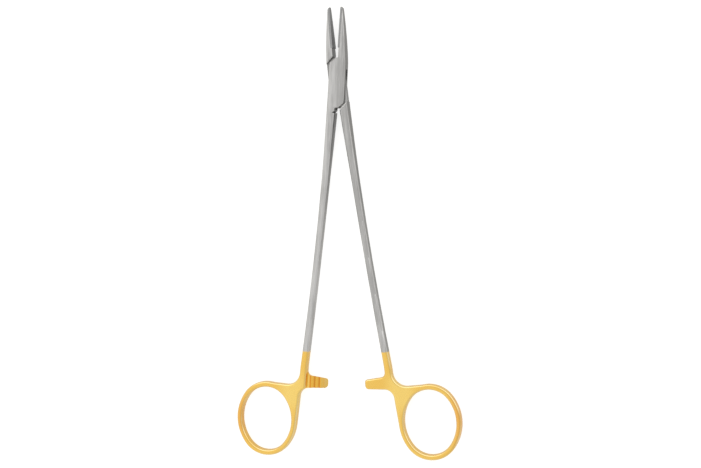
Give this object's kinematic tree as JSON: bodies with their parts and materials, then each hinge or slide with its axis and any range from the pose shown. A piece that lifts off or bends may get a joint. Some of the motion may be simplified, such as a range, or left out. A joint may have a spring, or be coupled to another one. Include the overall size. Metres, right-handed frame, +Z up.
{
  "type": "surgical needle holder",
  "caption": "Box-lock surgical needle holder with hard-metal jaw inserts, long bowed steel shanks, gold-plated finger rings and a ratchet between them.",
  "frame": {"origin": "on the pivot axis, at the plane of the box's underside, which the tool lies on", "axes": "+Y from the pivot towards the jaw tips, +Z up along the pivot axis, +X to the right seen from above with the tips away from the viewer"},
  "size_m": [0.1058, 0.2038, 0.0058],
  "materials": {
    "forged_steel": "satin, with gold plating on the rings and ratchet",
    "hard_metal": "matt, with a fine cross-hatch on the gripping face",
    "pin_steel": "ground flush with the box"
  },
  "bodies": {
    "box_body": {"box_half": "forged_steel", "box_jaw_insert": "hard_metal", "pivot_pin": "pin_steel"},
    "tenon_body": {"tenon_half": "forged_steel", "tenon_jaw_insert": "hard_metal"}
  },
  "joints": [
    {"name": "box_lock", "type": "hinge", "parent": "box_body", "child": "tenon_body", "pos_m": [0, 0, 0], "axis": [0, 0, 1], "range_deg": [-8.6, 15.4]}
  ]
}
